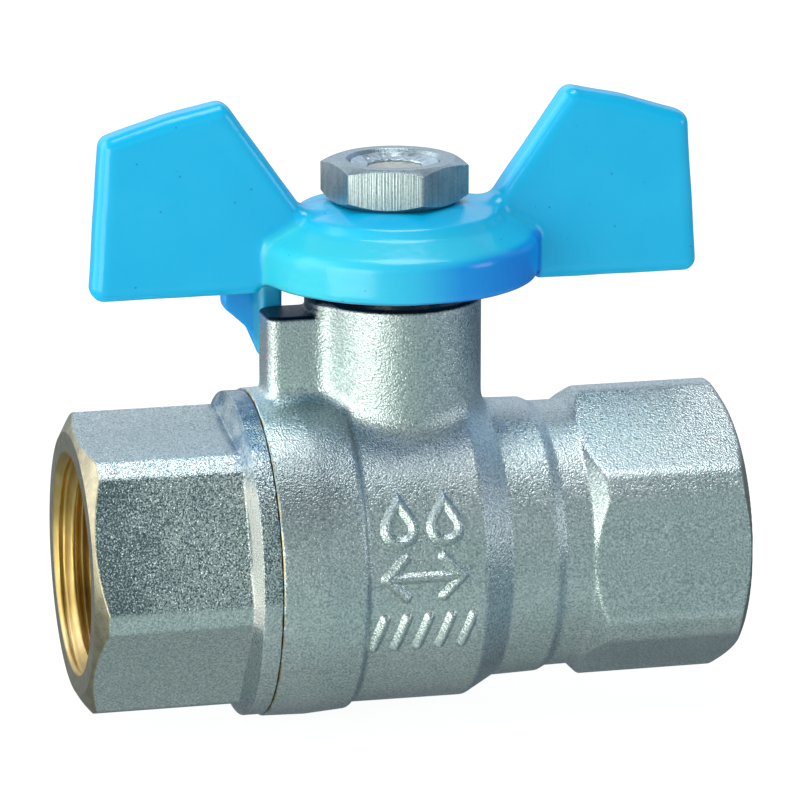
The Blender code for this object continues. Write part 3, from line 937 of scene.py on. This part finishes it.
def nut_steel(name):
    """Zinc-plated steel with upright cutting marks on its flats, dull stains and fine specks."""
    n = Nodes(bpy.data.materials.new(name))
    marks = n.noise(7000, 1, 0.5, n.stretched(1, 1, 0.015))
    colour = n.ramp(
        marks,
        (0.3, (0.33, 0.40, 0.425)),
        (0.5, (0.39, 0.465, 0.485)),
        (0.7, (0.44, 0.53, 0.54)),
    )
    specks = n.span(n.noise(4200, 2), 0.30, 0.70, 0.75, 1.2)
    colour = n.multiply(colour, n.ramp(specks, (0.0, (0.0, 0.0, 0.0)), (1.0, (1.0, 1.0, 1.0))))
    rough = n.span(n.noise(500, 3), 0.3, 0.7, 0.26, 0.42)
    normal = n.bump(marks, 0.03 * MM)
    normal = n.bump(specks, 0.01 * MM, after=normal)
    return n.finish(colour, rough, normal, 0.95)


def chrome_plate(name):
    """Polished chrome with faint buffing swirls."""
    n = Nodes(bpy.data.materials.new(name))
    swirls = n.noise(1500, 4, 0.7)
    colour = n.ramp(swirls, (0.3, (0.72, 0.73, 0.75)), (0.7, (0.84, 0.85, 0.86)))
    rough = n.span(swirls, 0.3, 0.7, 0.05, 0.12)
    return n.finish(colour, rough, n.bump(swirls, 0.003 * MM), 1.0)


def stem_brass(name):
    """Turned brass, dulled by handling."""
    n = Nodes(bpy.data.materials.new(name))
    rings = n.noise(1800, 3)
    colour = n.ramp(rings, (0.3, (0.46, 0.44, 0.38)), (0.7, (0.64, 0.62, 0.55)))
    rough = n.span(rings, 0.3, 0.7, 0.3, 0.5)
    return n.finish(colour, rough, n.bump(rings, 0.03 * MM), 1.0)


def staked_metal(name):
    """The stem's plated end, bruised by staking."""
    n = Nodes(bpy.data.materials.new(name))
    dents = n.noise(1500, 3)
    colour = n.ramp(dents, (0.3, (0.40, 0.48, 0.52)), (0.7, (0.60, 0.70, 0.74)))
    rough = n.span(dents, 0.3, 0.7, 0.26, 0.42)
    return n.finish(colour, rough, n.bump(dents, 0.04 * MM), 0.95)


def seat_ptfe(name):
    """Slightly waxy white PTFE with turning marks."""
    n = Nodes(bpy.data.materials.new(name))
    marks = n.noise(1400, 3)
    colour = n.ramp(marks, (0.3, (0.78, 0.78, 0.75)), (0.7, (0.88, 0.88, 0.86)))
    rough = n.span(marks, 0.3, 0.7, 0.38, 0.52)
    return n.finish(colour, rough, n.bump(marks, 0.01 * MM), 0.0)


def seal_rubber(name):
    """Black rubber with a faint bloom."""
    n = Nodes(bpy.data.materials.new(name))
    bloom = n.noise(1100, 4)
    colour = n.ramp(bloom, (0.3, (0.012, 0.012, 0.013)), (0.7, (0.035, 0.035, 0.037)))
    rough = n.span(bloom, 0.3, 0.7, 0.45, 0.65)
    return n.finish(colour, rough, n.bump(bloom, 0.01 * MM), 0.0)


# ---------------------------------------------------------------- the valve


def build_body():
    """The forged body with its raised marks and its outlet's thread."""
    plated = plated_forging("plated_body", outlet_machined, [painted_shade_under_handle, ring_painted_light])
    brass = bare_brass("outlet_thread_brass")
    voxel = 0.22
    mesh = cast("valve_body_forging", "valve_body", voxel, body_field)
    add_piece("valve_body_forging", mesh, plated, "root", ["valve_body"])
    add_piece("raised_marks", marks_mesh(), plated, "root", [])
    sleeve = loft("outlet_thread", on_pipe, 160, thread_section(1))
    add_piece("outlet_thread", sleeve, brass, "root", [])


def build_cap():
    """The end cap and its thread."""
    plated = plated_forging("plated_cap", inlet_machined, [pits, painted_collar_shade], 1.3, bevel)
    brass = bare_brass("inlet_thread_brass")
    mesh = loft("end_cap_forging", on_pipe, 480, cap_section)
    add_piece("end_cap_forging", mesh, plated, "root", ["end_cap"])
    sleeve = loft("inlet_thread", on_pipe, 160, thread_section(-1))
    add_piece("inlet_thread", sleeve, brass, "root", [])


def build_waterway():
    """The ball and its two seats."""
    chrome = chrome_plate("ball_chrome")
    ptfe = seat_ptfe("seat_ptfe")
    mesh = loft("polished_ball", on_pipe, 128, ball_section)
    ball = add_piece("polished_ball", mesh, chrome, "ball", ["ball"])
    shape = bmesh.new()
    bmesh.ops.create_cube(shape, size=1)
    size = Vector((SLOT_WIDTH, 3 * BALL, 2 * (BALL - SLOT_FLOOR))) * MM
    for vert in shape.verts:
        vert.co = Vector(a * b for a, b in zip(vert.co, size)) + CENTRE + Vector((0, 0, BALL * MM))
    cutter = bpy.data.objects.new("slot_cutter", bpy.data.meshes.new("slot_cutter"))
    shape.to_mesh(cutter.data)
    shape.free()
    bpy.context.scene.collection.objects.link(cutter)
    cut = ball.modifiers.new("slot", "BOOLEAN")
    cut.operation = "DIFFERENCE"
    cut.object = cutter
    graph = bpy.context.evaluated_depsgraph_get()
    slotted = bpy.data.meshes.new_from_object(ball.evaluated_get(graph))
    ball.modifiers.clear()
    ball.data = slotted
    bpy.data.objects.remove(cutter)
    for name, side in (("inlet_seat", -1), ("outlet_seat", 1)):
        ring = loft(name + "_ring", on_pipe, 96, seat_section(side))
        add_piece(name + "_ring", ring, ptfe, "root", [name])


def build_handle():
    """The painted handle, the nut and the stem's staked end."""
    voxel = 0.2
    mesh = cast("painted_handle", "handle", voxel, handle_field)
    roughen(mesh, 0.05, 3.5)
    turning = "handle_and_stem"
    add_piece("painted_handle", mesh, handle_paint("handle_paint"), turning, ["handle"])
    nut = loft("steel_nut", on_nut, 360, nut_section)
    add_piece("steel_nut", nut, nut_steel("nut_steel"), turning, ["handle_nut"])
    burr = loft("stem_burr", on_nut, 180, burr_section)
    add_piece("stem_burr", burr, staked_metal("staked_metal"), turning, [])


def dress_cad_nodes():
    """Materials for the stem and the small rings, whose CAD meshes stay as they are."""
    rubber = seal_rubber("o_ring_rubber")
    for name, finish in (
        ("stem", stem_brass("stem_brass")),
        ("stem_o_ring_lower", rubber),
        ("stem_o_ring_upper", rubber),
        ("stem_thrust_washer", seat_ptfe("washer_ptfe")),
    ):
        mesh = frame["nodes"][name].data
        mesh.materials.clear()
        mesh.materials.append(finish)


# ---------------------------------------------------------------- floor, lights and camera


def build_stage():
    """A plain white floor just under the valve, bright enough to hide nearly all of its shadow."""
    half_side = 4.0
    low = cad_box[0][2] - 0.1 * MM
    mesh = bpy.data.meshes.new("floor")
    turns = ((-1, -1), (1, -1), (1, 1), (-1, 1))
    corners = [(half_side * x, half_side * y, low) for x, y in turns]
    mesh.from_pydata(corners, [], [(0, 1, 2, 3)])
    floor = bpy.data.objects.new("floor", mesh)
    bpy.context.scene.collection.objects.link(floor)
    white = bpy.data.materials.new("floor_white")
    white.use_nodes = True
    shader = white.node_tree.nodes["Principled BSDF"]
    shader.inputs["Base Color"].default_value = (0.15, 0.15, 0.15, 1)
    shader.inputs["Roughness"].default_value = 0.9
    shader.inputs["Emission Color"].default_value = (1, 1, 1, 1)
    shader.inputs["Emission Strength"].default_value = 0.93
    mesh.materials.append(white)
    floor.visible_glossy = False


def add_softbox(name, direction, distance, size, power, colour=(1, 1, 1)):
    """A rectangular light that faces the valve from a direction."""
    light = bpy.data.lights.new(name, "AREA")
    light.shape = "RECTANGLE"
    light.size, light.size_y = size
    light.energy = power
    light.color = colour
    made = bpy.data.objects.new(name, light)
    bpy.context.scene.collection.objects.link(made)
    toward = Vector(direction).normalized()
    made.location = CENTRE + Vector((0, 0, 0.012)) + toward * distance
    made.rotation_euler = toward.to_track_quat("Z", "Y").to_euler()
    return made


def build_lights():
    """A banded surround, a box overhead, two on the left, and one on the right that only reflects."""
    world = bpy.data.worlds.new("studio")
    bpy.context.scene.world = world
    n = Nodes(world, "Generated")
    x, y, z = n.axes()
    height = n.span(z, -1.0, 1.0, 0.0, 1.0)
    front = n.ramp(
        height,
        (0.00, (0.31, 0.37, 0.37)),
        (0.10, (0.43, 0.52, 0.51)),
        (0.25, (0.60, 0.75, 0.74)),
        (0.40, (0.37, 0.47, 0.47)),
        (0.52, (0.29, 0.36, 0.36)),
        (0.62, (0.55, 0.66, 0.66)),
        (0.71, (0.53, 0.62, 0.62)),
        (0.82, (0.16, 0.20, 0.22)),
        (1.00, (0.50, 0.58, 0.64)),
    )
    back = n.ramp(
        height,
        (0.00, (0.31, 0.37, 0.37)),
        (0.15, (0.13, 0.16, 0.18)),
        (0.40, (0.17, 0.21, 0.25)),
        (0.55, (0.50, 0.60, 0.70)),
        (0.76, (1.20, 1.30, 1.46)),
        (0.86, (0.25, 0.31, 0.36)),
        (0.92, (0.20, 0.25, 0.29)),
        (1.00, (0.50, 0.58, 0.64)),
    )
    around = n.mix(n.span(y, -0.3, 0.4, 0.0, 1.0), front, back)
    fade = n.ramp(
        n.span(x, -1.0, 1.0, 0.0, 1.0),
        (0.0, (1.1, 1.1, 1.1)),
        (0.6, (1.0, 1.0, 1.0)),
        (1.0, (0.34, 0.45, 0.62)),
    )
    n.join(n.multiply(around, fade), n.tree.nodes["Background"].inputs["Color"])

    add_softbox("overhead", (0.02, -0.05, 1.0), 0.6, (0.32, 0.34), 1.65)
    add_softbox("key_box", (-0.78, -0.62, 0.05), 0.5, (0.36, 0.36), 1.4, (1.0, 1.0, 0.9))
    add_softbox("left_wall", (-0.93, 0.25, 0.33), 0.6, (0.7, 0.7), 2.2)
    sheen = add_softbox("right_sheen", (0.847, -0.489, 0.208), 0.6, (0.2, 0.2), 0.35)
    sheen.visible_diffuse = False
    bpy.context.scene.view_settings.view_transform = "Standard"


def build_camera():
    """A long lens from the front left, a little above the pipe's axis."""
    azimuth, elevation = radians(-13.44), radians(14.66)
    distance, across, up_shift = 483.0, 0.237, 13.723
    back = Vector((sin(azimuth) * cos(elevation), -cos(azimuth) * cos(elevation), sin(elevation)))
    right = Vector((cos(azimuth), sin(azimuth), 0))
    up = back.cross(right)
    camera = bpy.data.cameras.new("camera")
    camera.sensor_width = 36
    camera.lens = 224.3
    camera.clip_start = 0.01
    camera.clip_end = 20
    made = bpy.data.objects.new("camera", camera)
    bpy.context.scene.collection.objects.link(made)
    place = CENTRE + (right * across + up * up_shift + back * distance) * MM
    turn = Matrix((right, up, back)).transposed().to_4x4()
    made.matrix_world = Matrix.Translation(place) @ turn
    bpy.context.scene.camera = made


build_camera()
build_body()
build_cap()
build_waterway()
build_handle()
dress_cad_nodes()
build_stage()
build_lights()
